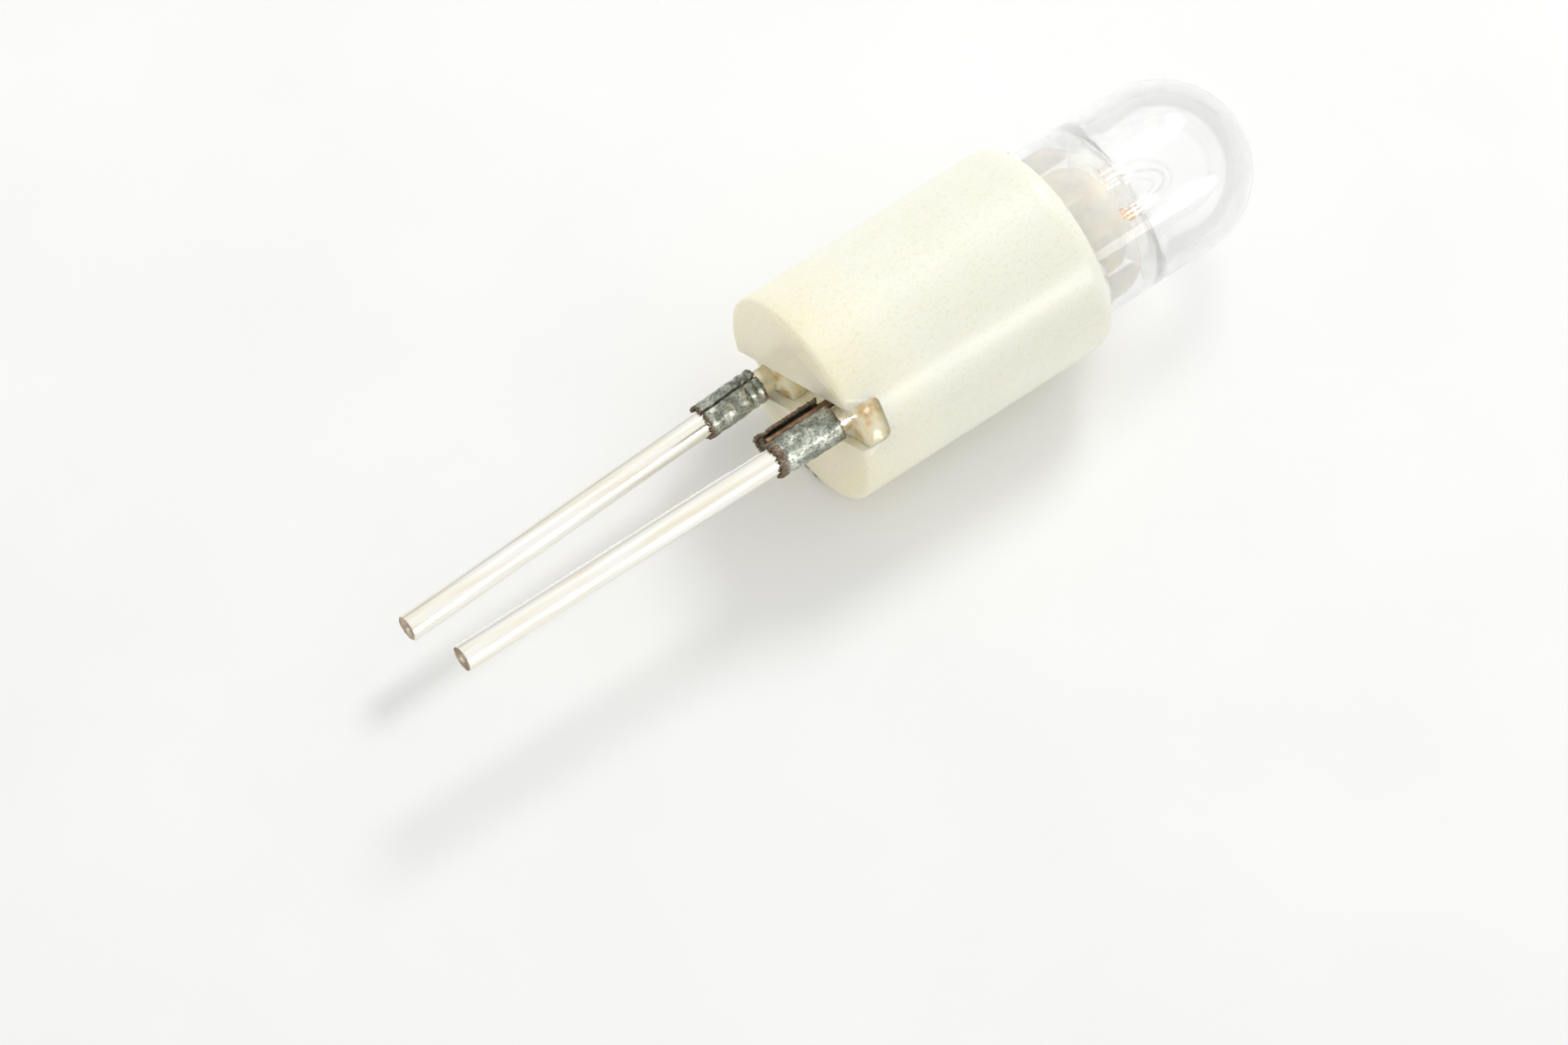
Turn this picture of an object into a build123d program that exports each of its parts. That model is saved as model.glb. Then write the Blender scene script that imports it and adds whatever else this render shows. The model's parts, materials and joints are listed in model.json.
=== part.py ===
from build123d import *
import math
import os

# Miniature bi-pin incandescent lamp, lying on the side of its base.
# It is drawn along X with the seating face at x = 0: the pins run to -X and the bulb to +X.
# All sizes are in millimetres and all angles in degrees.

# ---- driving dimensions ----
# base
base_diameter = 6.35
base_length = 8.56
shell_wall = 0.475
web_height = 2.6           # solid web that carries the pins, from the seating face
pin_end_round = 0.15
bulb_end_round = 0.6
slot_width = 1.36          # slot across the seating face, in line with the pins
slot_depth = 0.95
slot_corner = 0.25

# bulb
cement_gap = 0.15          # between the shell's bore and the glass
bulb_reach = 6.35          # glass that stands beyond the base
glass_wall = 0.4
glass_foot = 4.6           # height at which the bulb's glass ends inside the base
foot_round = 0.12
seal_reach = 1.95          # solid glass seal beyond the base
seal_crown = 0.15
exhaust_length = 1.2
exhaust_radius = 0.55
exhaust_tip_radius = 0.3

# pins
pin_diameter = 0.79
pin_squeeze = 0.01         # taken off the pin's radius in the base; it narrows under its sleeve
pin_pitch = 4.0
near_pin_reach = 12.45     # beyond the seating face
far_pin_reach = 12.34
pin_inner_end = 2.2
pin_tip_round = 0.06
pin_plane_roll = 34.7      # turn of the pins' plane about the lamp's axis, from level
far_pin_lean = 2.5         # the far pin is bent out of straight
far_pin_lean_angle = -50.0 # side it leans to: 0 is towards the near pin, -90 is down from there
far_pin_bend_start = 0.2   # beyond the seating face
far_pin_bend_radius = 2.0

# lead-in wires
lead_diameter = 0.3
lead_spacing = 1.7         # where they pass through the seal
lead_stub = 0.75           # beyond the seal, inside the bulb
lead_bend_radius = 0.7
lead_hole_clearance = 0.04
lead_to_pin_gap = 0.02
near_lead_angle = 147.0    # side of the pin on which the wire lies, measured like the lean
far_lead_angle = 220.0
lead_end_inset = 0.2       # short of the crimp sleeve's outer end
filament_diameter = 0.1

# crimp sleeves
sheet_thickness = 0.16
near_sleeve_start = 0.08   # from the seating face
near_sleeve_length = 2.04
near_sleeve_edge_angle = 104.0
near_sleeve_tail_angle = 97.0
far_sleeve_gap = 0.01      # between the end of the pin's bend and the sleeve
far_sleeve_length = 1.89
far_sleeve_seam_angle = 54.0
far_sleeve_seam_gap = 0.06

# cement and resin
cement_recess = 0.3        # ring of cement below the shell's rim
cement_bead_reach = 0.28   # bead on the glass beyond the rim
cement_bead_hollow = 0.02  # how far the bead's face curves in
cement_bead_start = 150.0  # the bead goes only part of the way round
cement_bead_sweep = 205.0
resin_margin = 0.12        # resin inboard of the pin and its wire, along the slot
near_resin_depth = 0.3     # top of the resin, from the seating face
far_resin_depth = 0.4

# ---- worked out from them ----
base_radius = base_diameter / 2
bore_radius = base_radius - shell_wall
glass_radius = bore_radius - cement_gap
glass_bore_radius = glass_radius - glass_wall
pin_radius = pin_diameter / 2
pin_held_radius = pin_radius - pin_squeeze
lead_radius = lead_diameter / 2
lead_offset = pin_radius + lead_to_pin_gap + lead_radius
pin_offset = pin_pitch / 2
bulb_end = base_length + bulb_reach
dome_centre = bulb_end - glass_radius
seal_top = base_length + seal_reach
lead_tip = seal_top + seal_crown + lead_stub
overall_length = bulb_end + near_pin_reach

roll = math.radians(pin_plane_roll)
to_near = Vector(0, -math.cos(roll), math.sin(roll))    # from the far pin to the near pin
across = Vector(0, math.sin(roll), math.cos(roll))      # square to the pins' plane
outward = Vector(-1, 0, 0)
lean = math.radians(far_pin_lean)
lean_side = math.radians(far_pin_lean_angle)
sideways = to_near * math.cos(lean_side) + across * math.sin(lean_side)
far_run = outward * math.cos(lean) + sideways * math.sin(lean)    # the far pin beyond its bend
far_sleeve_start = far_pin_bend_start + far_pin_bend_radius * math.tan(lean / 2) + far_sleeve_gap

# Values that differ from side to side: 1 is the near pin's side and -1 is the far one's.
lead_angle = {1: near_lead_angle, -1: far_lead_angle}
sleeve_start = {1: near_sleeve_start, -1: far_sleeve_start}
sleeve_length = {1: near_sleeve_length, -1: far_sleeve_length}

# The lamp lies on the floor with the middle of its length over the origin.
to_rest = Location((near_pin_reach - overall_length / 2, 0, base_radius))


def at(x, along=0.0, off=0.0):
    """A point x from the seating face, along the pins' plane and off it."""
    return Vector(x, 0, 0) + to_near * along + across * off


def polar(radius, angle, centre=(0.0, 0.0)):
    """A point of a section's plane."""
    turn = math.radians(angle)
    return (centre[0] + radius * math.cos(turn), centre[1] + radius * math.sin(turn))


def turned(edges):
    """A solid of revolution about the lamp's axis, from edges in x and radius."""
    return revolve(make_face(edges), Axis.X)


def rod(points, radii, radius):
    """A round wire along straight runs joined by tangent arcs."""
    path = FilletPolyline(*points, radius=radii) if len(points) > 2 else Line(*points)
    start = Plane(points[0], z_dir=points[1] - points[0])
    return sweep(start * Circle(radius), path)


def slot_bar(start, end, depth):
    """A bar that fills the slot from start to end along it, down from the given depth."""
    height = slot_depth - depth
    section = Rectangle(slot_width, height)
    section = fillet(section.vertices().group_by(Axis.Y)[0], slot_corner)
    floor = Plane(at(slot_depth, start), x_dir=across, z_dir=to_near)
    return extrude(floor * Pos(0, height / 2) * section, end - start)


# ---- pins ----
def pin_axis(side):
    """Points and bends of a pin's centre line, from its inner end to its tip."""
    root = at(pin_inner_end, side * pin_offset)
    if side > 0:
        return [root, at(-near_pin_reach, pin_offset)], []
    corner = at(-far_pin_bend_start, -pin_offset)
    run = (far_pin_reach - far_pin_bend_start) / math.cos(lean)
    return [root, corner, corner + far_run * run], [far_pin_bend_radius]


def outside_plane(side):
    """Plane square to the pin outside the base, with x towards the near pin.

    Its origin is on the pin's line, as far from the tip as the seating face is.
    """
    points, _ = pin_axis(side)
    run = (points[-1] - points[-2]).normalized()
    square = (to_near - run * to_near.dot(run)).normalized()
    reach = near_pin_reach if side > 0 else far_pin_reach
    return Plane(points[-1] - run * reach, x_dir=square, z_dir=run)


def held_pin(side):
    """The narrower stretch inside the base, as far as the sleeve."""
    points, radii = pin_axis(side)
    points[-1] = outside_plane(side).offset(sleeve_start[side]).origin
    return rod(points, radii, pin_held_radius)


def pin(side):
    points, _ = pin_axis(side)
    narrow = outside_plane(side).offset(sleeve_start[side])
    full = narrow.offset(sleeve_length[side])
    crimped = loft([narrow * Circle(pin_held_radius), full * Circle(pin_radius)])
    free = extrude(full * Circle(pin_radius), (points[-1] - full.origin).length)
    tip_edges = free.edges().filter_by(GeomType.CIRCLE).sort_by_distance(points[-1])[:1]
    return held_pin(side) + crimped + fillet(tip_edges, pin_tip_round)


# ---- lead-in wires ----
def beside_pin(side):
    """Where the wire lies beside its pin: along the pins' plane and off it."""
    return polar(lead_offset, lead_angle[side], (side * pin_offset, 0))


def lead_path(side):
    """From its tip inside the bulb, through the seal and the web, to its end along the pin."""
    beside, off = beside_pin(side)
    in_seal = side * lead_spacing / 2
    low = web_height + lead_bend_radius / 2
    high = glass_foot - lead_bend_radius / 2
    points = [at(lead_tip, in_seal), at(high, in_seal), at(low, beside, off)]
    radii = [lead_bend_radius, lead_bend_radius]
    reach = sleeve_start[side] + sleeve_length[side] - lead_end_inset
    if side > 0:
        points.append(at(-reach, beside, off))
    else:
        points.append(at(-far_pin_bend_start, beside, off))
        points.append(points[-1] + far_run * (reach - far_pin_bend_start))
        radii.append(far_pin_bend_radius)
    return points, radii


def lead(side):
    return rod(*lead_path(side), lead_radius)


def lead_passage(side):
    """Clearance for a lead-in wire through the web, and through the wall where it comes that near."""
    return rod(*lead_path(side), lead_radius + lead_hole_clearance)


# ---- crimp sleeves ----
# A strip of sheet is rolled round the pin and then round the wire beside it.
tangent_angle = math.degrees(math.acos((pin_radius - lead_radius) / lead_offset))


def strip_edges(offset, side, edge_angle, tail_angle):
    """One face of the rolled strip, from its edge on the pin to its tail."""
    centre = polar(lead_offset, lead_angle[side])
    leave = lead_angle[side] + tangent_angle - 360
    on_pin = pin_radius + offset
    on_lead = lead_radius + offset
    parts = [
        CenterArc((0, 0), on_pin, edge_angle, leave - edge_angle),
        Line(polar(on_pin, leave), polar(on_lead, leave, centre)),
    ]
    if tail_angle is not None:
        parts.append(CenterArc(centre, on_lead, leave, tail_angle - 360 - leave))
        return parts
    back = lead_angle[side] - tangent_angle
    seam = edge_angle + math.degrees(far_sleeve_seam_gap / pin_radius)
    parts.append(CenterArc(centre, on_lead, leave, back - 360 - leave))
    parts.append(Line(polar(on_lead, back, centre), polar(on_pin, back)))
    parts.append(CenterArc((0, 0), on_pin, back, seam - back))
    return parts


def rolled_strip(side, edge_angle, tail_angle=None):
    """The strip's section; with no tail angle it comes back round to its own edge."""
    inner = strip_edges(0, side, edge_angle, tail_angle)
    outer = strip_edges(sheet_thickness, side, edge_angle, tail_angle)
    caps = [Line(inner[0] @ 0, outer[0] @ 0), Line(inner[-1] @ 1, outer[-1] @ 1)]
    return make_face(inner + outer + caps)


def crimp_sleeve(side):
    if side > 0:
        section = rolled_strip(side, near_sleeve_edge_angle, near_sleeve_tail_angle)
    else:
        section = rolled_strip(side, far_sleeve_seam_angle)
    end = outside_plane(side).offset(sleeve_start[side])
    return extrude(end * section, sleeve_length[side])


# ---- base ----
def rounded_end(body, end, radius):
    """Rounds the circular edge at one end of a body along X; end is 0 or -1."""
    rims = body.edges().filter_by(GeomType.CIRCLE).sort_by(Axis.X)
    return fillet(rims[end], radius)


def base_shell():
    shell = extrude(Plane.YZ * Circle(base_radius), base_length)
    shell = rounded_end(shell, 0, pin_end_round)
    shell = rounded_end(shell, -1, bulb_end_round)
    bore = extrude(Plane.YZ.offset(web_height) * Circle(bore_radius), base_length - web_height)
    shell = shell - bore - slot_bar(-base_diameter, base_diameter, -base_radius)
    for side in (1, -1):
        shell = shell - held_pin(side) - lead_passage(side)
    return shell


# ---- bulb ----
def glass_envelope():
    inner_tip = dome_centre + glass_bore_radius
    outline = [
        Line((glass_foot, glass_radius), (dome_centre, glass_radius)),
        CenterArc((dome_centre, 0), glass_radius, 0, 90),
        Line((bulb_end, 0), (inner_tip, 0)),
        CenterArc((dome_centre, 0), glass_bore_radius, 0, 90),
        Line((dome_centre, glass_bore_radius), (glass_foot, glass_bore_radius)),
        Line((glass_foot, glass_bore_radius), (glass_foot, glass_radius)),
    ]
    tube = turned(outline)
    foot_rim = tube.edges().filter_by(GeomType.CIRCLE).sort_by(Axis.X)[:2].sort_by(SortBy.RADIUS)[-1]
    return fillet(foot_rim, foot_round)


def glass_stem():
    """The seal that closes the bulb, with the sealed-off end of its exhaust tube."""
    tip = glass_foot - exhaust_length
    round_centre = tip + exhaust_tip_radius
    crown_height, crown_radius = 0.75 * seal_crown, 0.5 * glass_bore_radius    # on a parabola
    outline = [
        CenterArc((round_centre, 0), exhaust_tip_radius, 90, 90),
        Line((round_centre, exhaust_tip_radius), (glass_foot, exhaust_radius)),
        Line((glass_foot, exhaust_radius), (glass_foot, glass_bore_radius)),
        Line((glass_foot, glass_bore_radius), (seal_top, glass_bore_radius)),
        ThreePointArc(
            (seal_top, glass_bore_radius),
            (seal_top + crown_height, crown_radius),
            (seal_top + seal_crown, 0),
        ),
        Line((seal_top + seal_crown, 0), (tip, 0)),
    ]
    stem = turned(outline)
    for side in (1, -1):
        stem = stem - lead(side)
    return stem


def filament():
    """An arch between the two lead tips, as a plain wire of the coil's outer diameter."""
    half = lead_spacing / 2
    arch = ThreePointArc(at(lead_tip, -half), at(lead_tip + half, 0), at(lead_tip, half))
    start = Plane(at(lead_tip, -half), z_dir=(1, 0, 0))
    return sweep(start * Circle(filament_diameter / 2), arch)


# ---- cement and resin ----
def basing_cement():
    ring_top = base_length - cement_recess
    ring = turned([
        Line((glass_foot + foot_round, glass_radius), (glass_foot + foot_round, bore_radius)),
        Line((glass_foot + foot_round, bore_radius), (ring_top, bore_radius)),
        Line((ring_top, bore_radius), (ring_top, glass_radius)),
        Line((ring_top, glass_radius), (glass_foot + foot_round, glass_radius)),
    ])
    bead_top = base_length + cement_bead_reach
    section = make_face([
        Line((ring_top, glass_radius), (ring_top, bore_radius)),
        Line((ring_top, bore_radius), (base_length, bore_radius)),
        SagittaArc((base_length, bore_radius), (bead_top, glass_radius), -cement_bead_hollow),
        Line((bead_top, glass_radius), (ring_top, glass_radius)),
    ])
    bead = revolve(Rot(cement_bead_start, 0, 0) * section, Axis.X, cement_bead_sweep)
    return ring + bead


def resin_drop(side):
    """Resin that fills the slot round a pin and its wire, out to the shell's side."""
    beside, _ = beside_pin(side)
    inner_end = min(abs(beside) - lead_radius, pin_offset - pin_radius) - resin_margin
    if side > 0:
        bar = slot_bar(inner_end, base_radius, near_resin_depth)
    else:
        bar = slot_bar(-base_radius, -inner_end, far_resin_depth)
    drop = bar & extrude(Plane.YZ * Circle(base_radius), base_length)
    return drop - pin(side) - lead(side)


nodes = {
    "base_shell": base_shell(),
    "glass_envelope": glass_envelope(),
    "glass_stem": glass_stem(),
    "filament": filament(),
    "basing_cement": basing_cement(),
}
for name, side in (("near", 1), ("far", -1)):
    nodes["pin_" + name] = pin(side)
    nodes["lead_wire_" + name] = lead(side)
    nodes["crimp_sleeve_" + name] = crimp_sleeve(side)
    nodes["resin_drop_" + name] = resin_drop(side)

os.makedirs("parts", exist_ok=True)
for name, shape in nodes.items():
    export_step(to_rest * shape, f"parts/{name}.step")
    print(name, round(shape.volume, 4))
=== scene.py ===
import json
import math
import bmesh
import bpy
from mathutils import Matrix, Vector, noise


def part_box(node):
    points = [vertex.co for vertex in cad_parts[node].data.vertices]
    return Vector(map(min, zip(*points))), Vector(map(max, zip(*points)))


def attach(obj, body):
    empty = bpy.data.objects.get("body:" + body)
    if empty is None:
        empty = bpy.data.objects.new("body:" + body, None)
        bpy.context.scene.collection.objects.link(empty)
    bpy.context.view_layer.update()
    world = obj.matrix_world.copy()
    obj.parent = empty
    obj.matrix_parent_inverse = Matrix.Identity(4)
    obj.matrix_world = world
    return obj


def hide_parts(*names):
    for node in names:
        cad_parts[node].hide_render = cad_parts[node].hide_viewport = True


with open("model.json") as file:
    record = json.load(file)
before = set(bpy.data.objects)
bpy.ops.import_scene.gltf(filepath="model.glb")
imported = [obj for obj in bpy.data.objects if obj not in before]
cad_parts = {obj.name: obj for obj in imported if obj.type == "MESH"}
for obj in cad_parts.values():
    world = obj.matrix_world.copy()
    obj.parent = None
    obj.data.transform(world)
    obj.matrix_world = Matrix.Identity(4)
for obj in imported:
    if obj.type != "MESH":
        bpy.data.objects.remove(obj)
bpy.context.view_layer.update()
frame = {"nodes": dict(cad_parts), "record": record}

# The lamp lies along X with its pins to -X, its bulb to +X and its base on the floor.
MM = 0.001

# ---- sizes and places from the frame ----
shell_low, shell_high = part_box("base_shell")
glass_low, glass_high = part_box("glass_envelope")
stem_low, stem_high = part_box("glass_stem")
cement_low, cement_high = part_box("basing_cement")
seat_x = shell_low.x
rim_x = shell_high.x
base_radius = (shell_high.z - shell_low.z) / 2
axis_z = shell_low.z + base_radius
glass_radius = (glass_high.z - glass_low.z) / 2
dome_x = glass_high.x - glass_radius
foot_x = glass_low.x
glass_bore = (stem_high.z - stem_low.z) / 2
shell_bore = (cement_high.z - cement_low.z) / 2
mounts = {m["name"]: m for m in frame["record"]["mounts"]}
near_mount = mounts["near_pin"]
far_mount = mounts["far_pin"]
pin_radius = near_mount["dims"]["r_mm"] * MM

# ---- sizes that the shapes share ----
seat_round = 0.15 * MM
rim_round = 0.6 * MM
slot_width = 1.36 * MM
slot_depth = 0.95 * MM
lead_radius = 0.15 * MM
lead_offset = 0.565 * MM       # from a pin's axis to the wire beside it
lead_spread = 0.85 * MM        # from the lamp's axis to each wire in the seal
sheet_thickness = 0.1 * MM
seal_crown = 0.15 * MM
seal_top = stem_high.x - seal_crown
outward = Vector((-1, 0, 0))
near_axis = Vector(near_mount["pos_m"])
to_near = Vector((0, near_axis.y, near_axis.z - axis_z)).normalized()
across = outward.cross(to_near)
RUST = "rust"                  # vertex value that browns the sleeves
pin_offset = Vector((0, near_axis.y, near_axis.z - axis_z)).length


def on_axis(x):
    return Vector((x, 0, axis_z))


# ---- mesh helpers ----
def arc(centre, radius, start, end, steps):
    """Points of an arc in a section plane; angles in degrees."""
    turns = [math.radians(start + (end - start) * i / steps) for i in range(steps + 1)]
    return [(centre[0] + radius * math.cos(t), centre[1] + radius * math.sin(t)) for t in turns]


def lathe(bm, outline, steps):
    """Spins an outline of (distance, radius) pairs round the X axis."""
    verts = [bm.verts.new((x, 0, radius)) for x, radius in outline]
    edges = [bm.edges.new(pair) for pair in zip(verts, verts[1:])]
    bmesh.ops.spin(bm, geom=verts + edges, cent=(0, 0, 0), axis=(1, 0, 0),
                   angle=2 * math.pi, steps=steps, use_merge=True)
    bmesh.ops.remove_doubles(bm, verts=bm.verts, dist=0.0001 * MM)


def face_outwards(bm):
    bmesh.ops.recalc_face_normals(bm, faces=bm.faces)
    if bm.calc_volume(signed=True) < 0:
        bmesh.ops.reverse_faces(bm, faces=bm.faces)


def piece(name, bm, material, replaced=(), sharp=None):
    """Makes the finished object: smooth, in the row frame, riding on the lamp."""
    mesh = bpy.data.meshes.new(name)
    bm.to_mesh(mesh)
    bm.free()
    mesh.materials.append(material)
    mesh.shade_smooth()
    if sharp is not None:
        mesh.set_sharp_from_angle(angle=math.radians(sharp))
    obj = bpy.data.objects.new(name, mesh)
    bpy.context.scene.collection.objects.link(obj)
    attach(obj, "root")
    if replaced:
        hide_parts(*replaced)
    return obj


# ---- node helpers ----
class Tree:
    """A node tree with short ways to add and join its nodes."""

    def __init__(self, tree):
        self.nodes = tree.nodes
        self.links = tree.links

    def feed(self, value, socket):
        """Links an output to a socket, or sets the socket to a plain value."""
        if isinstance(value, bpy.types.NodeSocket):
            self.links.new(value, socket)
        elif socket.type == "RGBA":
            socket.default_value = (*value, 1)
        else:
            socket.default_value = value

    def add(self, kind, **values):
        """A node with its inputs fed by name; a name has _ for each space."""
        node = self.nodes.new(kind)
        for key, value in values.items():
            self.feed(value, node.inputs[key.replace("_", " ")])
        return node

    def place(self, tree, **values):
        """The outputs of a shared group with its inputs fed by name."""
        node = self.nodes.new("ShaderNodeGroup")
        node.node_tree = tree
        for key, value in values.items():
            self.feed(value, node.inputs[key.replace("_", " ")])
        return node.outputs

    def maths(self, operation, *values):
        node = self.nodes.new("ShaderNodeMath")
        node.operation = operation
        for value, socket in zip(values, node.inputs):
            self.feed(value, socket)
        return node.outputs[0]

    def mix(self, factor, first, second, blend="MIX"):
        node = self.nodes.new("ShaderNodeMix")
        node.data_type = "RGBA"
        node.blend_type = blend
        for value, index in ((factor, 0), (first, 6), (second, 7)):
            self.feed(value, node.inputs[index])
        return node.outputs[2]

    def tones(self, mask, *stops):
        """A colour that follows a mask through (place, colour) stops."""
        node = self.nodes.new("ShaderNodeValToRGB")
        elements = node.color_ramp.elements
        while len(elements) < len(stops):
            elements.new(0.5)
        for element, (place, color) in zip(elements, stops):
            element.position = place
            element.color = (*color, 1)
        self.links.new(mask, node.inputs[0])
        return node.outputs[0]

    def spread(self, mask, low, high, start=0.0, end=1.0):
        """The part of a mask from start to end, spread from low to high."""
        node = self.add("ShaderNodeMapRange", Value=mask, From_Min=start, From_Max=end,
                        To_Min=low, To_Max=high)
        return node.outputs["Result"]

    def bump(self, height, strength, distance):
        return self.add("ShaderNodeBump", Height=height, Strength=strength, Distance=distance).outputs[0]


class Finish(Tree):
    """A material under way, with its Principled shader."""

    def __init__(self, name):
        self.material = bpy.data.materials.new(name)
        self.material.use_nodes = True
        super().__init__(self.material.node_tree)
        self.shader = self.nodes["Principled BSDF"]

    def set(self, **values):
        """Feeds the shader's sockets by name."""
        for key, value in values.items():
            self.feed(value, self.shader.inputs[key.replace("_", " ")])

    def mottle(self, patch, grain):
        """Masks of soft patches and of grain, of these sizes in millimetres."""
        masks = self.place(mottle_group, Patch_Size=patch, Grain_Size=grain)
        return masks["Patch"], masks["Grain"]

    def along(self, start, end):
        """A mask that goes from 0 to 1 along X between two places."""
        return self.place(along_group, From=start, To=end)["Share"]


def new_group(name, inputs, outputs):
    """An empty node group, as (group, tree helper, its input node, its output node)."""
    group = bpy.data.node_groups.new(name, "ShaderNodeTree")
    for label, default in inputs:
        socket = group.interface.new_socket(label, in_out="INPUT", socket_type="NodeSocketFloat")
        socket.default_value = default
    for label in outputs:
        group.interface.new_socket(label, in_out="OUTPUT", socket_type="NodeSocketFloat")
    return group, Tree(group), group.nodes.new("NodeGroupInput"), group.nodes.new("NodeGroupOutput")


# ---- shared effects ----
def make_mottle():
    """Two noise masks over the piece: soft patches and fine grain."""
    group, tree, start, end = new_group("mottle", [("Patch Size", 1.0), ("Grain Size", 0.1)],
                                        ["Patch", "Grain"])
    coords = tree.add("ShaderNodeTexCoord")
    for label, detail in (("Patch", 3.0), ("Grain", 2.0)):
        scale = tree.maths("DIVIDE", 1 / MM, start.outputs[label + " Size"])
        field = tree.add("ShaderNodeTexNoise", Vector=coords.outputs["Object"], Scale=scale, Detail=detail)
        tree.links.new(field.outputs[0], end.inputs[label])
    return group


def make_along():
    """How far a point is along X between two places, from 0 to 1."""
    group, tree, start, end = new_group("along", [("From", 0.0), ("To", 1.0)], ["Share"])
    coords = tree.add("ShaderNodeTexCoord")
    split = tree.add("ShaderNodeSeparateXYZ", Vector=coords.outputs["Object"])
    share = tree.spread(split.outputs["X"], 0.0, 1.0, start.outputs["From"], start.outputs["To"])
    tree.links.new(share, end.inputs["Share"])
    return group


mottle_group = make_mottle()
along_group = make_along()


# ---- materials ----
def nylon():
    """Ivory nylon, yellower at the seating face, with fine grain and a satin surface."""
    finish = Finish("ivory_nylon")
    patch, grain = finish.mottle(2.2, 0.09)
    along = finish.along(seat_x - 0.1 * MM, seat_x + 2.6 * MM)
    body = finish.tones(along, (0.0, (0.90, 0.84, 0.64)), (0.2, (0.93, 0.89, 0.71)),
                        (1.0, (0.955, 0.935, 0.80)))
    cloud = finish.tones(patch, (0.3, (0.95, 0.94, 0.89)), (0.7, (1, 1, 1)))
    clouded = finish.mix(0.45, body, cloud, "MULTIPLY")
    fleck = finish.tones(grain, (0.36, (0.9, 0.86, 0.74)), (0.44, (1, 1, 1)))
    finish.set(
        Base_Color=finish.mix(0.5, clouded, fleck, "MULTIPLY"),
        Roughness=finish.spread(patch, 0.26, 0.44),
        Normal=finish.bump(grain, 0.25, 0.006 * MM),
        Subsurface_Weight=0.4,
        Subsurface_Radius=(1.0, 0.8, 0.45),
        Subsurface_Scale=0.9 * MM,
        IOR=1.53,
    )
    return finish.material


def clear_glass():
    """Thin clear glass with faint waves; it hardly shades what lies under it."""
    finish = Finish("clear_glass")
    patch, grain = finish.mottle(1.4, 0.4)
    rays = finish.add("ShaderNodeLightPath").outputs
    shading = finish.maths("MAXIMUM", rays["Is Shadow Ray"], rays["Is Diffuse Ray"])
    edge = finish.add("ShaderNodeLayerWeight", Blend=0.35).outputs["Facing"]
    passed = finish.maths("SUBTRACT", 0.97, finish.maths("MULTIPLY", edge, 0.35))
    clear = finish.maths("MAXIMUM", finish.maths("MULTIPLY", shading, passed), 0.42)
    finish.set(
        Base_Color=(0.985, 0.985, 0.99),
        Roughness=finish.spread(patch, 0.0, 0.03, 0.5, 0.8),
        Normal=finish.bump(patch, 0.25, 0.01 * MM),
        Alpha=finish.maths("SUBTRACT", 1.0, clear),
        Transmission_Weight=1.0,
        IOR=1.4,
    )
    return finish.material


def painted_refraction_finish():
    """Painted refraction: an uneven, half-clear tan that stands for the cream base and cement seen through
    the seal's thick glass.
    """
    finish = Finish("painted_seal_refraction")
    patch, grain = finish.mottle(0.7, 0.2)
    finish.set(
        Base_Color=finish.tones(patch, (0.35, (0.93, 0.88, 0.74)), (0.6, (0.98, 0.97, 0.90))),
        Alpha=finish.spread(patch, 0.85, 0.55, 0.3, 0.7),
        Roughness=0.6,
    )
    return finish.material


def pin_plate(name, tip_x):
    """Bright plating with faint drawing lines, and a raw tan cut at the tip."""
    finish = Finish(name)
    coords = finish.add("ShaderNodeTexCoord").outputs["Object"]
    stretched = finish.add("ShaderNodeMapping", Vector=coords)
    stretched.inputs["Scale"].default_value = (0.04, 1, 1)
    lines = finish.add("ShaderNodeTexNoise", Vector=stretched.outputs[0], Scale=7 / MM, Detail=3.0).outputs[0]
    plate = finish.tones(lines, (0.3, (0.90, 0.84, 0.66)), (0.55, (0.955, 0.94, 0.89)),
                         (0.75, (0.88, 0.88, 0.87)))
    patch, grain = finish.mottle(0.3, 0.06)
    raw = finish.tones(patch, (0.35, (0.26, 0.17, 0.09)), (0.65, (0.5, 0.4, 0.28)))
    cut = finish.along(tip_x + 0.035 * MM, tip_x + 0.02 * MM)
    shine = finish.maths("MULTIPLY_ADD", lines, 0.22, 0.1)
    finish.set(
        Base_Color=finish.mix(cut, plate, raw),
        Metallic=finish.maths("SUBTRACT", 1.0, cut),
        Roughness=finish.maths("MULTIPLY_ADD", cut, 0.4, shine),
        Normal=finish.bump(lines, 0.2, 0.004 * MM),
    )
    return finish.material


def crimp_metal():
    """Tarnished sheet: grey-green with pale worn patches, brown where the mesh says rust."""
    finish = Finish("tarnished_sheet")
    patch, grain = finish.mottle(0.33, 0.07)
    metal = finish.tones(patch, (0.32, (0.20, 0.22, 0.18)), (0.5, (0.38, 0.40, 0.34)),
                         (0.66, (0.66, 0.67, 0.60)))
    pits = finish.tones(grain, (0.36, (0.35, 0.35, 0.33)), (0.56, (1, 1, 1)))
    worn = finish.mix(0.8, metal, pits, "MULTIPLY")
    rust = finish.tones(grain, (0.35, (0.07, 0.05, 0.03)), (0.65, (0.24, 0.16, 0.09)))
    stain = finish.add("ShaderNodeAttribute")
    stain.attribute_name = RUST
    rusty = finish.maths("MULTIPLY_ADD", stain.outputs["Fac"], 1.6, finish.maths("SUBTRACT", patch, 0.85))
    rusty.node.use_clamp = True
    finish.set(
        Base_Color=finish.mix(rusty, worn, rust),
        Metallic=finish.maths("MULTIPLY_ADD", rusty, -0.75, 0.85),
        Roughness=finish.spread(patch, 0.55, 0.22),
        Normal=finish.bump(grain, 0.6, 0.015 * MM),
    )
    return finish.material


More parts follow.
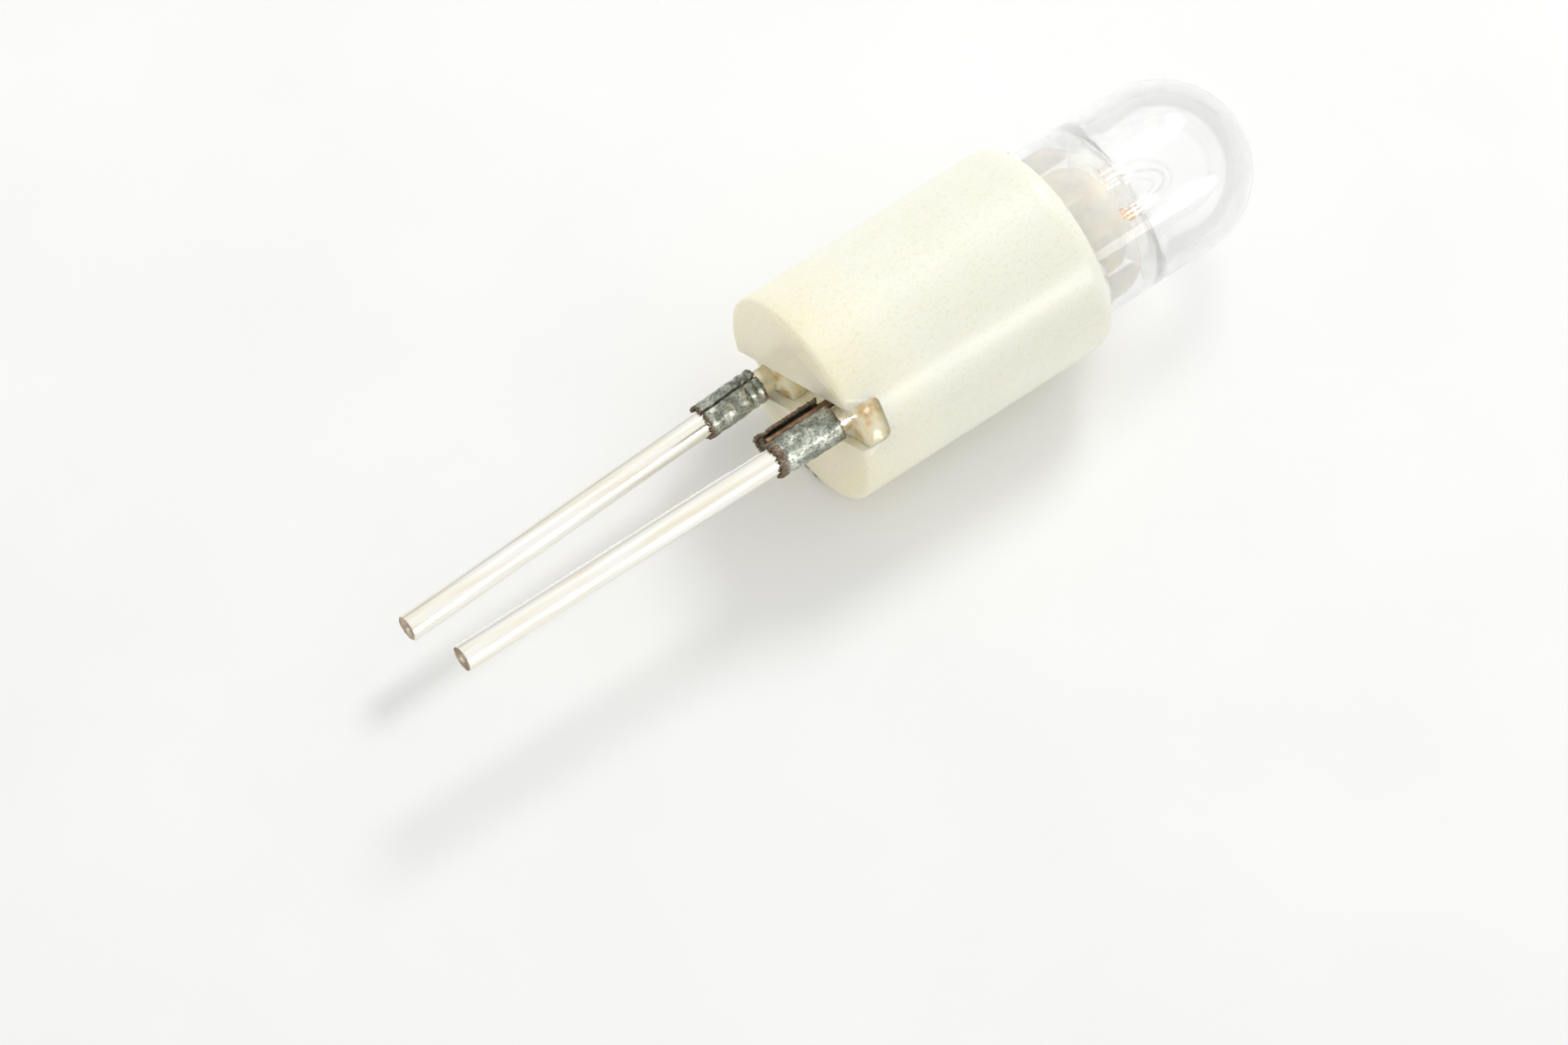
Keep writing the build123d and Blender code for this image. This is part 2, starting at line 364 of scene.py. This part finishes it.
def lead_metal():
    """Dull brown in the base, tan in the seal, orange-brown at its top and bright above it."""
    finish = Finish("lead_in_wire")
    patch, grain = finish.mottle(0.4, 0.06)
    brown = finish.tones(patch, (0.35, (0.16, 0.09, 0.05)), (0.65, (0.36, 0.24, 0.15)))
    tan = finish.tones(patch, (0.35, (0.78, 0.66, 0.48)), (0.65, (0.93, 0.86, 0.72)))
    in_seal = finish.along(seat_x + 3.2 * MM, seat_x + 4.2 * MM)
    near_top = finish.along(seal_top - 0.75 * MM, seal_top - 0.2 * MM)
    above = finish.along(seal_top + 0.02 * MM, seal_top + 0.1 * MM)
    sealed = finish.mix(in_seal, brown, tan)
    spotted = finish.mix(near_top, sealed, (0.72, 0.42, 0.2))
    finish.set(
        Base_Color=finish.mix(above, spotted, (0.93, 0.93, 0.93)),
        Roughness=finish.spread(grain, 0.5, 0.25),
        Metallic=0.9,
    )
    return finish.material


def tungsten():
    finish = Finish("tungsten")
    patch, grain = finish.mottle(0.2, 0.03)
    finish.set(
        Base_Color=finish.tones(patch, (0.3, (0.55, 0.55, 0.56)), (0.7, (0.8, 0.8, 0.8))),
        Metallic=1.0,
        Roughness=0.35,
    )
    return finish.material


def cement():
    """Whitish, slightly waxy basing cement; its darker olive patches are painted shade for its hollows and
    the gap at the rim, laid at random by noise.
    """
    finish = Finish("basing_cement")
    patch, grain = finish.mottle(0.45, 0.07)
    finish.set(
        # the darkest stop is painted shade
        Base_Color=finish.tones(patch, (0.3, (0.55, 0.53, 0.42)), (0.45, (0.86, 0.85, 0.78)),
                                (0.8, (0.95, 0.95, 0.92))),
        Normal=finish.bump(grain, 0.5, 0.02 * MM),
        Roughness=0.55,
        Subsurface_Weight=0.3,
        Subsurface_Scale=0.3 * MM,
    )
    return finish.material


def amber():
    """Glossy pale resin, deeper amber in places."""
    finish = Finish("amber_resin")
    patch, grain = finish.mottle(0.5, 0.1)
    finish.set(
        Base_Color=finish.tones(patch, (0.3, (0.66, 0.42, 0.16)), (0.5, (0.91, 0.79, 0.53)),
                                (0.75, (0.95, 0.89, 0.70))),
        Normal=finish.bump(patch, 0.3, 0.03 * MM),
        Roughness=0.12,
        Subsurface_Weight=0.5,
        Subsurface_Radius=(1.0, 0.6, 0.2),
        Subsurface_Scale=0.4 * MM,
    )
    return finish.material


def dark_speck_finish():
    finish = Finish("dark_speck_finish")
    patch, grain = finish.mottle(0.1, 0.03)
    finish.set(
        Base_Color=finish.tones(patch, (0.3, (0.10, 0.08, 0.05)), (0.7, (0.36, 0.32, 0.22))),
        Roughness=0.8,
    )
    return finish.material


def paper():
    finish = Finish("white_paper")
    patch, grain = finish.mottle(9.0, 0.5)
    finish.set(
        Base_Color=finish.tones(patch, (0.3, (0.91, 0.912, 0.905)), (0.7, (0.94, 0.94, 0.935))),
        Roughness=0.9,
        Specular_IOR_Level=0.1,
    )
    return finish.material


# ---- base ----
def merged_copy(node):
    """A node's mesh with its loose triangles joined, in the row frame."""
    source = frame["nodes"][node]
    bm = bmesh.new()
    bm.from_mesh(source.data)
    bm.transform(source.matrix_world)
    bmesh.ops.remove_doubles(bm, verts=bm.verts, dist=0.0005 * MM)
    return bm


def base_shell():
    """The moulded base: a cup with a slot cut across its seating face."""
    bm = merged_copy("base_shell")
    face_outwards(bm)
    body = piece("base_shell_moulding", bm, nylon(), ["base_shell"], sharp=30)
    flats = body.modifiers.new("flat_faces", "WEIGHTED_NORMAL")
    flats.keep_sharp = True
    return body


# ---- bulb ----
def glass_bulb():
    """One body of glass: the tube and dome, closed by the seal and its exhaust tip."""
    steps = 128
    fillet = 0.4 * MM            # inside, where the seal meets the tube
    tip_round = 0.3 * MM
    tip_root = 0.55 * MM
    foot_round = 0.25 * MM
    crown = [(seal_top + seal_crown, 0), (seal_top + 0.75 * seal_crown, glass_bore / 2)]
    fillet_centre = (seal_top + 0.2 * seal_crown + fillet, glass_bore - fillet)
    inner = crown + arc(fillet_centre, fillet, 180, 90, 8) + arc((dome_x, 0), glass_bore, 90, 0, 28)
    bm = bmesh.new()
    lathe(bm, inner, steps)
    face_outwards(bm)
    bmesh.ops.reverse_faces(bm, faces=bm.faces)
    outline = arc((stem_low.x + tip_round, 0), tip_round, 180, 90, 8)
    outline += [(foot_x - 0.05 * MM, tip_root), (foot_x, tip_root + 0.2 * MM)]
    outline += arc((foot_x + foot_round, glass_radius - foot_round), foot_round, 180, 90, 6)
    outline += arc((dome_x, 0), glass_radius, 90, 0, 32)
    outer = bmesh.new()
    lathe(outer, outline, steps)
    face_outwards(outer)
    shell = bpy.data.meshes.new("outer_glass")
    outer.to_mesh(shell)
    outer.free()
    bm.from_mesh(shell)
    bpy.data.meshes.remove(shell)
    bm.transform(Matrix.Translation(on_axis(0)))
    return piece("glass_bulb", bm, clear_glass(), ["glass_envelope"])


def seal_painted_refraction():
    """Painted refraction inside the seal: an uneven tan drop within the glass that stands for the cream base
    and cement seen through it.
    """
    foot = foot_x + 0.12 * MM
    radius = glass_radius - 0.95 * MM
    top = seal_top - 0.12 * MM
    shoulder = 0.7 * MM
    outline = [(foot, 0), (foot, radius), (top - shoulder, radius)]
    outline += arc((top - shoulder, radius - shoulder), shoulder, 90, 10, 8)
    outline += [(top + 0.05 * MM, radius / 2), (top + 0.08 * MM, 0)]
    bm = bmesh.new()
    lathe(bm, outline, 72)
    for vert in bm.verts:
        wave = noise.noise(vert.co / (0.9 * MM))
        vert.co.x += 0.1 * MM * wave * max(0, min(1, (vert.co.x - foot_x) / MM))
    face_outwards(bm)
    bm.transform(Matrix.Translation(on_axis(0)))
    return piece("seal_painted_refraction", bm, painted_refraction_finish(), ["glass_stem"])


def smooth_wire(name, points, radius, material, replaced):
    """A round wire along points, with its bends eased."""
    curve = bpy.data.curves.new(name, "CURVE")
    curve.dimensions = "3D"
    curve.bevel_depth = radius
    curve.bevel_resolution = 4
    curve.use_fill_caps = True
    spline = curve.splines.new("NURBS")
    spline.points.add(len(points) - 1)
    for target, point in zip(spline.points, points):
        target.co = (*point, 1)
    spline.order_u = 3
    spline.use_endpoint_u = True
    spline.resolution_u = 6
    helper = bpy.data.objects.new(name + "_path", curve)
    bpy.context.scene.collection.objects.link(helper)
    solid = helper.evaluated_get(bpy.context.evaluated_depsgraph_get())
    bm = bmesh.new()
    bm.from_mesh(solid.to_mesh())
    solid.to_mesh_clear()
    bpy.data.objects.remove(helper)
    return piece(name, bm, material, replaced)


# ---- pins, wires and sleeves ----
# Angles turn about a pin, in degrees, from the direction of the near pin towards "across".
# A dent is (middle, width, depth): shares of the sleeve's length, and millimetres.
SIDES = {
    "near": {
        "side": 1, "run": outward, "line": near_axis,
        "lead_angle": 147, "edge_angle": 104, "tail_angle": 97,
        "start": 0.08 * MM, "length": 2.04 * MM,
        "dents": [(0.86, 0.05, 0.05), (0.55, 0.05, 0.02)],
        "end_rust": 0.10, "edge_rust": (1.0, 0.035, 1.0),
    },
    "far": {
        "side": -1, "run": Vector(far_mount["axis"]), "line": Vector(far_mount["pos_m"]),
        "lead_angle": 220, "edge_angle": 54, "tail_angle": None,
        "start": 0.27 * MM, "length": 1.87 * MM,
        "dents": [(0.10, 0.035, 0.06), (0.24, 0.035, 0.06), (0.8, 0.06, 0.02)],
        "end_rust": 0.035, "edge_rust": (0.0, 0.01, 0.5),
    },
}


def at_seat(spec):
    """The point of a pin's line that is level with the seating face."""
    return spec["line"] + spec["run"] * ((seat_x - spec["line"].x) / spec["run"].x)


def frame_at(origin, run):
    """Matrix from (along the run, towards the near pin, across) to the row frame."""
    run = run.normalized()
    side = (to_near - run * to_near.dot(run)).normalized()
    turn = Matrix((run, side, run.cross(side))).transposed().to_4x4()
    return Matrix.Translation(origin) @ turn


def pin_frame(spec):
    return frame_at(at_seat(spec), spec["run"])


def pin(label, spec):
    """A pin of drawn wire, a little uneven along its length and roughly cut at its tip."""
    tip_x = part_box("pin_" + label)[0].x
    reach = (seat_x - tip_x) / abs(spec["run"].x)
    burr = 0.07 * MM
    stretches = 24
    outline = [(-0.9 * MM, 0), (-0.9 * MM, pin_radius)]
    outline += [(reach * i / stretches, pin_radius) for i in range(1, stretches)]
    outline += [(reach - burr, pin_radius)]
    outline += arc((reach - burr, pin_radius - burr), burr, 90, 10, 5)
    outline += [(reach, pin_radius * 0.7), (reach - 0.01 * MM, pin_radius * 0.35), (reach - 0.02 * MM, 0)]
    bm = bmesh.new()
    lathe(bm, outline, 48)
    for vert in bm.verts:
        wave = noise.noise(Vector((vert.co.x / (2.5 * MM), 0, spec["side"])))
        vert.co.yz *= 1 - 0.012 * abs(wave)
        if vert.co.x > reach - 0.05 * MM:
            vert.co.x += 0.016 * MM * (noise.noise(vert.co / (0.12 * MM)) - 0.6)
    face_outwards(bm)
    bm.transform(pin_frame(spec))
    return piece("pin_" + label + "_plated", bm, pin_plate("plating_" + label, tip_x),
                 ["pin_" + label], sharp=50)


def lead_wire(label, spec, material):
    """A wire from above the seal, through it and the web, to its end along its pin."""
    turn = math.radians(spec["lead_angle"])
    local = Vector((0, lead_offset * math.cos(turn), lead_offset * math.sin(turn)))
    in_seal = to_near * (spec["side"] * lead_spread)
    beside = to_near * (spec["side"] * pin_offset + local.y) + across * local.z
    top_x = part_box("lead_wire_" + label)[1].x
    points = [on_axis(top_x) + in_seal, on_axis(seal_top) + in_seal,
              on_axis(seat_x + 4.3 * MM) + in_seal, on_axis(seat_x + 3.6 * MM) + (in_seal + beside) / 2,
              on_axis(seat_x + 2.9 * MM) + beside, on_axis(seat_x + 0.2 * MM) + beside]
    end = spec["start"] + spec["length"] - 0.2 * MM
    matrix = pin_frame(spec)
    points += [matrix @ (local + Vector((along, 0, 0))) for along in (0.1 * MM, 0.5 * end, end)]
    return smooth_wire("lead_in_wire_" + label, points, lead_radius, material,
                       ["lead_wire_" + label])


def wrap_path(spec):
    """The sleeve's section about the pin and its wire, as points in the pin's own plane."""
    lead_turn = math.radians(spec["lead_angle"])
    centre = (lead_offset * math.cos(lead_turn), lead_offset * math.sin(lead_turn))
    tangent = math.degrees(math.acos((pin_radius - lead_radius) / lead_offset))
    leave = spec["lead_angle"] + tangent - 360
    back = spec["lead_angle"] - tangent
    on_pin = pin_radius + sheet_thickness / 2
    on_lead = lead_radius + sheet_thickness / 2
    path = arc((0, 0), on_pin, spec["edge_angle"], leave, 40)
    if spec["tail_angle"] is not None:
        return path + arc(centre, on_lead, leave, spec["tail_angle"] - 360, 20)
    path += arc(centre, on_lead, leave, back - 360, 16)
    return path + arc((0, 0), on_pin, back, spec["edge_angle"] + 9, 30)


def point_along(path, share):
    """The point at a share of a path's length, and the direction square to it."""
    lengths = [math.dist(a, b) for a, b in zip(path, path[1:])]
    left = share * sum(lengths)
    for a, b, length in zip(path, path[1:], lengths):
        if left <= length or (a, b) == (path[-2], path[-1]):
            t = left / length
            flat = ((b[0] - a[0]) / length, (b[1] - a[1]) / length)
            return Vector((a[0] + t * (b[0] - a[0]), a[1] + t * (b[1] - a[1]))), Vector((-flat[1], flat[0]))
        left -= length


def groove(middle, width, value):
    """1 in the middle of a groove, falling to 0 beyond its width."""
    return math.exp(-(((value - middle) / width) ** 2))


def sleeve(label, spec, material):
    """A strip of sheet rolled round pin and wire: ribbed by the crimp, ragged at its ends."""
    path = wrap_path(spec)
    matrix = pin_frame(spec)
    side = spec["side"]
    edge_middle, edge_width, edge_strength = spec["edge_rust"]
    bm = bmesh.new()
    rust = bm.verts.layers.float.new(RUST)
    bmesh.ops.create_grid(bm, x_segments=150, y_segments=70, size=0.5)
    for vert in bm.verts:
        around, along = vert.co.x + 0.5, vert.co.y + 0.5
        flat, square = point_along(path, around)
        coarse = noise.noise(Vector((around * 9, 3.1 * side, 0)))
        fine = noise.noise(Vector((around * 60, 7.7 * side, 1)))
        outer_end = (0.10 * coarse + 0.07 * fine) * MM * along ** 8
        inner_end = (0.04 * coarse + 0.03 * fine) * MM * (1 - along) ** 8
        distance = spec["start"] + spec["length"] * along + outer_end - inner_end
        dent = sum(depth * groove(middle, width, along) for middle, width, depth in spec["dents"])
        facet = 0.022 * abs(math.sin(around * 11))
        facet += 0.016 * noise.noise(Vector((around * 14, along * 8, side)))
        lift = (facet - dent + 0.03) * MM
        if spec["tail_angle"] is not None:
            # the tail's edge is cut in teeth and stands off the wire
            tail = max(0, (around - 0.93) / 0.07)
            lift += 0.05 * MM * tail ** 2
            flat = flat + Vector((0, 0.05 * MM * tail * noise.noise(Vector((along * 34, 5, 0)))))
        flat = flat + square * lift
        vert.co = matrix @ Vector((distance, flat[0], flat[1]))
        ends = max(groove(1.0, spec["end_rust"], along), 0.7 * groove(0.0, 0.05, along))
        edge = edge_strength * groove(edge_middle, edge_width, around)
        stain = 0.35 * max(0, noise.noise(Vector((around * 8, along * 5, 9))))
        vert[rust] = min(1, max(ends, edge) + stain)
    face_outwards(bm)
    strip = piece("crimp_sleeve_" + label + "_sheet", bm, material,
                  ["crimp_sleeve_" + label])
    wall = strip.modifiers.new("wall", "SOLIDIFY")
    wall.thickness = sheet_thickness
    wall.offset = 0
    return strip


def resin(label, spec, material, depth, inner_end, climb):
    """Resin in the slot round a pin; its hollow top climbs the metal and the slot's walls."""
    side = spec["side"]
    outer_end = math.sqrt(base_radius ** 2 - (slot_width / 2) ** 2) - 0.02 * MM
    matrix = frame_at(on_axis(seat_x) + to_near * (side * pin_offset), outward)
    bm = bmesh.new()
    bmesh.ops.create_grid(bm, x_segments=70, y_segments=40, size=0.5)
    for vert in bm.verts:
        off = vert.co.y * (slot_width - 0.01 * MM)
        along = inner_end + (outer_end - inner_end) * (vert.co.x + 0.5)
        along = min(along, math.sqrt(max(0, base_radius ** 2 - off ** 2)) - 0.01 * MM)
        from_pin = math.hypot(along - pin_offset, off) - pin_radius
        rise = climb * math.exp(-max(0, from_pin) / (0.13 * MM))
        rise += 0.07 * MM * math.exp(-(slot_width / 2 - abs(off)) / (0.1 * MM))
        rise += 0.04 * MM * noise.noise(Vector((along, off, 0)) / (0.5 * MM))
        vert.co = matrix @ Vector((rise - depth, side * (along - pin_offset), off))
    grown = bmesh.ops.extrude_face_region(bm, geom=bm.faces[:])
    down = [v for v in grown["geom"] if isinstance(v, bmesh.types.BMVert)]
    for vert in down:
        vert.co.x = min(seat_x + slot_depth - 0.005 * MM, vert.co.x + 1.2 * MM)
    face_outwards(bm)
    return piece("resin_drop_" + label + "_set", bm, material, ["resin_drop_" + label])


# ---- cement, filament and dirt ----
def cement_ring():
    """The ring between glass and base, with a lumpy bead over part of the rim."""
    clearance = 0.005 * MM
    ring_top = rim_x - 0.3 * MM
    inner, outer = glass_radius + clearance, shell_bore - clearance
    outline = [(cement_low.x, inner), (cement_low.x, outer), (ring_top, outer),
               (rim_x - 0.02 * MM, shell_bore - 0.01 * MM), (rim_x + 0.10 * MM, glass_radius + 0.08 * MM),
               (cement_high.x, glass_radius + 0.01 * MM), (ring_top, inner), (cement_low.x, inner)]
    bead_height = cement_high.x - ring_top
    bm = bmesh.new()
    lathe(bm, outline, 144)
    for vert in bm.verts:
        # the bead is missing over an arc along the top
        gap = groove(90, 48, math.degrees(math.atan2(vert.co.z, vert.co.y)))
        lump = 0.5 + 0.5 * noise.noise(Vector((0, vert.co.y, vert.co.z)) / (0.8 * MM))
        keep = min(1, (1 - 0.95 * gap) * (0.7 + 0.4 * lump))
        share = max(0, (vert.co.x - ring_top) / bead_height)
        vert.co.x -= share * bead_height * (1 - keep)
    face_outwards(bm)
    bm.transform(Matrix.Translation(on_axis(0)))
    return piece("cement_ring", bm, cement(), ["basing_cement"])


def filament():
    """A fine coil on an arch between the tips of the lead-in wires."""
    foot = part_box("filament")[0].x + 0.03 * MM
    wire_radius, coil_radius = 0.011 * MM, 0.036 * MM
    turns, per_turn = 46, 10
    points = []
    for i in range(turns * per_turn + 1):
        sweep = math.pi * i / (turns * per_turn)
        spin = 2 * math.pi * i / per_turn
        radial = lead_spread + coil_radius * math.cos(spin)
        point = on_axis(foot + radial * math.sin(sweep)) + to_near * (-radial * math.cos(sweep))
        points.append(point + across * (coil_radius * math.sin(spin)))
    return smooth_wire("filament_coil", points, wire_radius, tungsten(), ["filament"])


def specks():
    """Dark specks on the rim and along the lower edge of the seating face."""
    # each is (place along X, angle about the axis from +Y, length and width in millimetres)
    spots = [(rim_x - 0.10 * MM, 36, 0.16, 0.07), (rim_x - 0.06 * MM, 30, 0.12, 0.05),
             (rim_x - 0.14 * MM, 20, 0.15, 0.06), (rim_x - 0.08 * MM, 48, 0.09, 0.05),
             (seat_x + 0.05 * MM, -103, 0.17, 0.05), (seat_x + 0.03 * MM, -96, 0.13, 0.04)]
    bm = bmesh.new()
    for i, (x, angle, length, width) in enumerate(spots):
        made = bmesh.ops.create_icosphere(bm, subdivisions=2, radius=1)
        corner, depth = (rim_round, rim_x - x) if x > 0 else (seat_round, x - seat_x)
        inset = corner - math.sqrt(corner ** 2 - (corner - depth) ** 2) + 0.01 * MM
        turn = math.radians(angle)
        outside = Vector((0, math.cos(turn), math.sin(turn)))
        tangent = Vector((0, -math.sin(turn), math.cos(turn)))
        centre = on_axis(x) + outside * (base_radius - inset)
        for vert in made["verts"]:
            lump = 1 + 0.5 * noise.noise(vert.co * 2 + Vector((i, 0, 0)))
            local = Vector((vert.co.x * width, vert.co.y * 0.02, vert.co.z * length)) * lump * MM
            vert.co = centre + Vector((local.x, 0, 0)) + outside * local.y + tangent * local.z
    return piece("dark_specks", bm, dark_speck_finish())


# ---- the lamp ----
base_shell()
glass_bulb()
seal_painted_refraction()
wire_metal = lead_metal()
sheet_metal = crimp_metal()
amber_resin = amber()
for label, spec in SIDES.items():
    pin(label, spec)
    lead_wire(label, spec, wire_metal)
    sleeve(label, spec, sheet_metal)
resin("near", SIDES["near"], amber_resin, 0.3 * MM, 1.2 * MM, 0.05 * MM)
resin("far", SIDES["far"], amber_resin, 0.4 * MM, 1.35 * MM, 0.22 * MM)
cement_ring()
filament()
specks()


# ---- floor, light and camera ----
def paper_floor():
    bm = bmesh.new()
    bmesh.ops.create_grid(bm, x_segments=2, y_segments=2, size=0.6)
    mesh = bpy.data.meshes.new("floor")
    bm.to_mesh(mesh)
    bm.free()
    mesh.materials.append(paper())
    obj = bpy.data.objects.new("floor", mesh)
    bpy.context.scene.collection.objects.link(obj)


def area_lamp(name, offset, size, watts, size_y=None):
    """A lamp at an offset from the seating face, aimed at the lamp's middle: a disk or a strip."""
    lamp = bpy.data.lights.new(name, "AREA")
    lamp.shape = "DISK" if size_y is None else "RECTANGLE"
    lamp.size = size
    if size_y is not None:
        lamp.size_y = size_y
    lamp.energy = watts
    obj = bpy.data.objects.new(name, lamp)
    obj.location = on_axis(seat_x) + Vector(offset) * MM
    obj.rotation_euler = (on_axis(0) - obj.location).to_track_quat("-Z", "Y").to_euler()
    bpy.context.scene.collection.objects.link(obj)
    return obj


def surroundings():
    """An evenly lit pale room; mirrors and glass see it darker towards the horizon."""
    world = bpy.data.worlds.new("room")
    bpy.context.scene.world = world
    world.use_nodes = True
    tree = Tree(world.node_tree)
    coords = tree.add("ShaderNodeTexCoord").outputs["Generated"]
    height = tree.add("ShaderNodeSeparateXYZ", Vector=coords).outputs["Z"]
    sky = tree.tones(height, (0.0, (0.55, 0.55, 0.56)), (0.2, (0.68, 0.68, 0.69)),
                     (0.55, (0.92, 0.92, 0.92)), (1.0, (1.0, 1.0, 1.0)))
    rays = tree.add("ShaderNodeLightPath").outputs
    mirrored = tree.maths("MAXIMUM", rays["Is Glossy Ray"], rays["Is Transmission Ray"])
    lit = tree.mix(mirrored, (0.815, 0.815, 0.81), sky)
    tree.feed(tree.mix(rays["Is Camera Ray"], lit, (1, 1, 1)), tree.nodes["Background"].inputs["Color"])


def view():
    """The camera: above, to the pins' side and turned, with a long lens."""
    azimuth, elevation = math.radians(-36.49), math.radians(59.81)
    distance = 288.1 * MM
    look = Vector((-math.sin(azimuth) * math.cos(elevation), math.cos(azimuth) * math.cos(elevation),
                   -math.sin(elevation)))
    right = look.cross(Vector((0, 0, 1))).normalized()
    up = right.cross(look)
    data = bpy.data.cameras.new("camera")
    data.lens = 242.4
    data.sensor_width = 36
    data.clip_start = 0.01
    camera = bpy.data.objects.new("camera", data)
    target = on_axis(seat_x + 4 * MM) - right * 3.64 * MM - up * 5.37 * MM
    camera.location = target - look * distance
    camera.rotation_euler = look.to_track_quat("-Z", "Y").to_euler()
    bpy.context.scene.collection.objects.link(camera)
    bpy.context.scene.camera = camera


paper_floor()
surroundings()
area_lamp("key", (112, 58, 142), 62 * MM, 0.11)
strip_light = area_lamp("window", (0, -215, 62), 360 * MM, 0.5, 50 * MM)
strip_light.visible_diffuse = False
view()
bpy.context.scene.view_settings.view_transform = "Standard"
